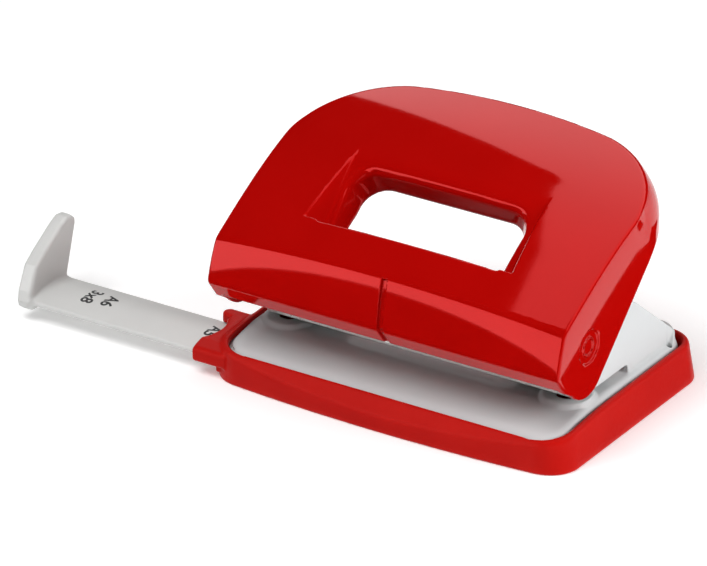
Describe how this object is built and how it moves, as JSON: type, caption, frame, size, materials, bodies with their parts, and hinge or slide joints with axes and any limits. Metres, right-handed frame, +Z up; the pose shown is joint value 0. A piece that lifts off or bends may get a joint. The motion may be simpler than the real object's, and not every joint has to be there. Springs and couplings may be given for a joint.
{
  "type": "two-hole paper punch",
  "caption": "Two-hole desk paper punch with a sheet-steel frame, an arched plastic lever with a hand opening, a hinged chip tray and a pull-out paper guide rail.",
  "frame": {"origin": "on the flat underside of the chip tray, midway between the two punched holes", "axes": "+X along the punch to the right, the guide rail slides out towards -X; -Y is the side the paper enters from; +Z up"},
  "size_m": [0.1604, 0.0701, 0.0631],
  "materials": {
    "red_gloss_plastic": "high gloss",
    "red_grained_plastic": "fine grain",
    "grey_painted_steel": "semi-matt light grey",
    "grey_plastic": "semi-matt light grey",
    "zinc_plated_steel": "bright zinc",
    "punch_steel": "ground",
    "spring_steel": "oiled",
    "guide_bush_plastic": "natural",
    "anti_slip_rubber": "matt"
  },
  "bodies": {
    "tray": {"chip_tray": "red_grained_plastic", "pad_front_left": "anti_slip_rubber", "pad_front_right": "anti_slip_rubber", "pad_rear_left": "anti_slip_rubber", "pad_rear_right": "anti_slip_rubber", "tray_hinge_pin_left": "zinc_plated_steel", "tray_hinge_pin_right": "zinc_plated_steel"},
    "frame": {"base_plate": "grey_painted_steel", "guide_bracket": "zinc_plated_steel", "rivet_low_left": "zinc_plated_steel", "rivet_high_left": "zinc_plated_steel", "rivet_low_right": "zinc_plated_steel", "rivet_high_right": "zinc_plated_steel", "pivot_pin_left": "zinc_plated_steel", "pivot_pin_right": "zinc_plated_steel", "guide_bush_left": "guide_bush_plastic", "guide_bush_right": "guide_bush_plastic", "return_spring_left": "spring_steel", "return_spring_right": "spring_steel"},
    "lever_body": {"lever": "red_gloss_plastic"},
    "punch_l": {"punch_left": "punch_steel", "retaining_ring_left": "spring_steel"},
    "punch_r": {"punch_right": "punch_steel", "retaining_ring_right": "spring_steel"},
    "rail": {"guide_rail": "grey_plastic"}
  },
  "joints": [
    {"name": "tray_hinge", "type": "hinge", "parent": "tray", "child": "frame", "pos_m": [0, 0.0406, 0.0082], "axis": [-1, 0, 0], "range_deg": [0, 30]},
    {"name": "lever_hinge", "type": "hinge", "parent": "frame", "child": "lever_body", "pos_m": [0, -0.009, 0.0265], "axis": [-1, 0, 0], "range_deg": [0, 30], "stiffness_Nm_per_rad": 0.15, "springref_deg": -28.65},
    {"name": "punch_left_slide", "type": "slide", "parent": "frame", "child": "punch_l", "axis": [0, 0, -1], "range_m": [0, 0.0048], "deforming": ["return_spring_left"]},
    {"name": "punch_right_slide", "type": "slide", "parent": "frame", "child": "punch_r", "axis": [0, 0, -1], "range_m": [0, 0.0048], "deforming": ["return_spring_right"]},
    {"name": "rail_slide", "type": "slide", "parent": "tray", "child": "rail", "axis": [-1, 0, 0], "range_m": [-0.0365, 0.0435]}
  ],
  "couplings": [
    {"joint": "punch_left_slide", "follows": "lever_hinge", "m_per_rad": 0.0090814},
    {"joint": "punch_right_slide", "follows": "lever_hinge", "m_per_rad": 0.0090814}
  ]
}
